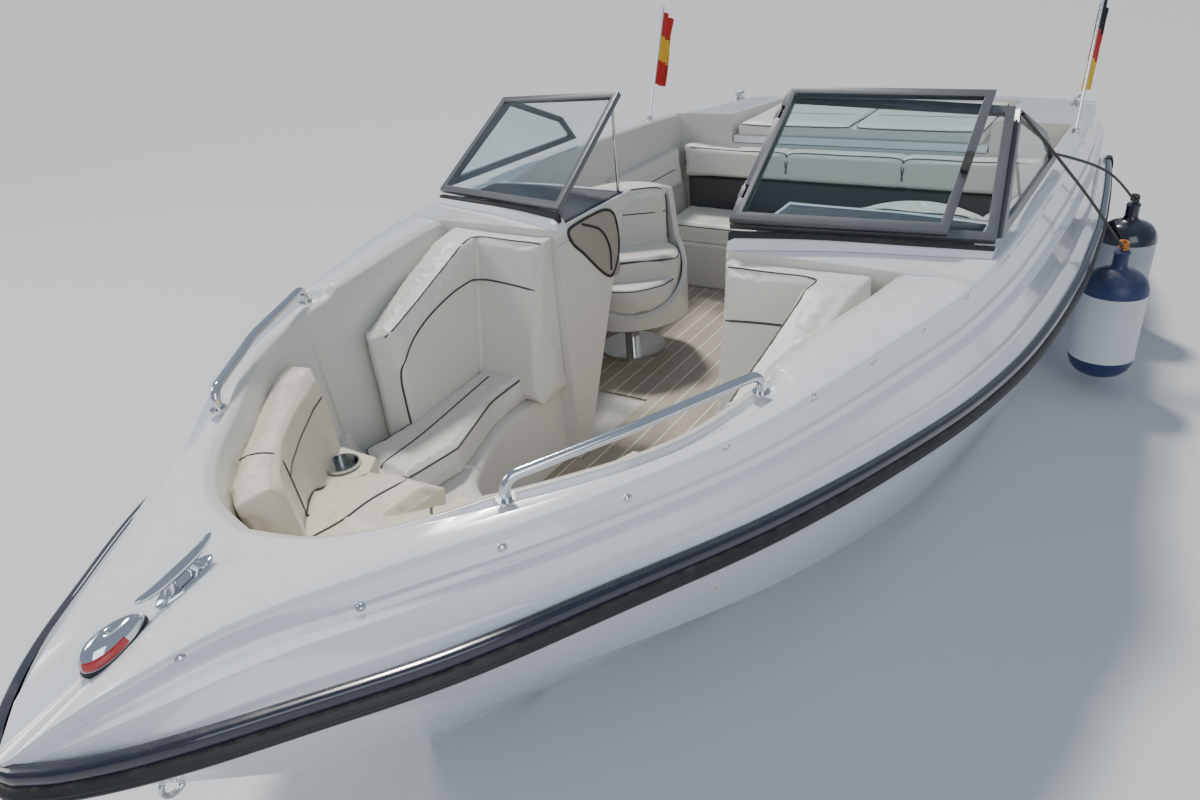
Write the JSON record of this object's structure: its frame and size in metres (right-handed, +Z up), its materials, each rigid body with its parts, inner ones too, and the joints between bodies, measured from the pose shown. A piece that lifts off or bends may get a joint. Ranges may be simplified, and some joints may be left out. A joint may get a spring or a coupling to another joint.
{
  "type": "bow cockpit speedboat with stern drive",
  "caption": "Open runabout with a bow cockpit, walk-through windshield, twin consoles, bench, sun pad and a steering, trimming stern drive.",
  "frame": {"origin": "on the centreline at the waterline of the boat afloat, near its centre of flotation", "axes": "+X forward to the bow, +Y to port, +Z up"},
  "size_m": [5.681, 2.5642, 2.2549],
  "materials": {
    "gelcoat": "glossy white gelcoat",
    "rail_rubber": "black ribbed rubber",
    "plank_floor": "plank pattern sheet flooring",
    "vinyl": "off-white marine vinyl",
    "charcoal_vinyl": "charcoal marine vinyl",
    "frame_alu": "anodized blue grey",
    "window": "clear tinted",
    "stainless": "polished",
    "black_plastic": "moulded",
    "speaker_plastic": "silver grey moulded grille",
    "dash_vinyl": "taupe padded vinyl",
    "drive_paint": "satin black enamel",
    "engine_iron": "painted",
    "prop_alloy": "black enamel",
    "flag_cloth": "woven polyester",
    "fender_vinyl": "inflated vinyl",
    "rope": "braided polyester"
  },
  "bodies": {
    "boat": {"bench_backs": "vinyl", "bench_base": "gelcoat", "bench_panel": "charcoal_vinyl", "bench_seats": "vinyl", "bow_backrests": "vinyl", "bow_eye": "stainless", "bow_front_pads": "vinyl", "bow_seats": "vinyl", "brace_rod": "black_plastic", "cockpit_floor": "plank_floor", "companion_pedestal": "stainless", "console_port": "gelcoat", "console_starboard": "gelcoat", "cup_holder": "stainless", "dash_pod": "dash_vinyl", "deck": "gelcoat", "deck_cleats": "stainless", "engine_block": "engine_iron", "fender_rope_1": "rope", "fender_rope_2": "rope", "fenders": "fender_vinyl", "flag_staffs": "stainless", "flags": "flag_cloth", "gimbal_housing": "drive_paint", "grab_rails": "stainless", "hatch_hinges": "stainless", "helm_pedestal": "stainless", "hull": "gelcoat", "nav_light": "stainless", "rub_rail": "rail_rubber", "side_pads": "vinyl", "speakers": "speaker_plastic", "swim_platform": "gelcoat", "throttle": "black_plastic", "windshield_frame_port": "frame_alu", "windshield_frame_starboard": "frame_alu", "windshield_glass_port": "window", "windshield_glass_starboard": "window"},
    "helm_seat": {"helm_seat_shell": "gelcoat", "helm_seat_cushions": "vinyl"},
    "companion_seat": {"companion_seat_shell": "gelcoat", "companion_seat_cushions": "vinyl"},
    "wheel": {"steering_wheel": "black_plastic"},
    "door": {"door_frame": "frame_alu", "door_glass": "window", "door_latch": "black_plastic"},
    "hatch": {"engine_hatch": "gelcoat", "sun_pad": "vinyl"},
    "ring": {"gimbal_ring": "drive_paint"},
    "leg": {"drive_leg": "drive_paint"},
    "prop": {"propeller": "prop_alloy"},
    "cylinders": {"trim_cylinders": "drive_paint"},
    "rods": {"trim_rods": "stainless"}
  },
  "joints": [
    {"name": "windshield_door", "type": "hinge", "parent": "boat", "child": "door", "pos_m": [0.98094, 0.30549, 1.05903], "axis": [0.8401, -0.0115, -0.5423], "range_deg": [0, 190.3]},
    {"name": "helm_seat_swivel", "type": "hinge", "parent": "boat", "child": "helm_seat", "pos_m": [0.08, -0.6, 0.298], "axis": [0, 0, 1], "range_deg": [-40, 45]},
    {"name": "companion_seat_swivel", "type": "hinge", "parent": "boat", "child": "companion_seat", "pos_m": [0.08, 0.6, 0.298], "axis": [0, 0, 1], "range_deg": [-45, 45]},
    {"name": "engine_hatch_lift", "type": "hinge", "parent": "boat", "child": "hatch", "pos_m": [-1.927, 0, 0.7875], "axis": [0, -1, 0], "range_deg": [0, 55]},
    {"name": "drive_steer", "type": "hinge", "parent": "boat", "child": "ring", "pos_m": [-2.215, 0, 0], "axis": [0, 0, 1], "range_deg": [-28, 28]},
    {"name": "steering_wheel_turn", "type": "hinge", "parent": "boat", "child": "wheel", "pos_m": [0.392, -0.63, 0.8], "axis": [-0.8829, 0, 0.4695], "range_deg": [-545, 545]},
    {"name": "drive_trim", "type": "hinge", "parent": "ring", "child": "leg", "pos_m": [-2.215, 0, 0], "axis": [0, 1, 0], "range_deg": [-5, 45]},
    {"name": "propeller_spin", "type": "hinge", "parent": "leg", "child": "prop", "pos_m": [-2.59, 0, -0.6], "axis": [1, 0, 0], "continuous": true},
    {"name": "trim_cylinder_swing", "type": "hinge", "parent": "ring", "child": "cylinders", "pos_m": [-2.225, 0, -0.235], "axis": [0, 1, 0], "range_deg": [-4.51, 32.56]},
    {"name": "trim_rod_slide", "type": "slide", "parent": "cylinders", "child": "rods", "axis": [-0.9596, 0, 0.2813], "range_m": [-0.0195, 0.1595]}
  ],
  "couplings": [
    {"joint": "steering_wheel_turn", "follows": "drive_steer", "ratio": -19.3},
    {"joint": "trim_cylinder_swing", "follows": "drive_trim", "ratio": 0.7014},
    {"joint": "trim_rod_slide", "follows": "drive_trim", "m_per_rad": 0.20052}
  ]
}
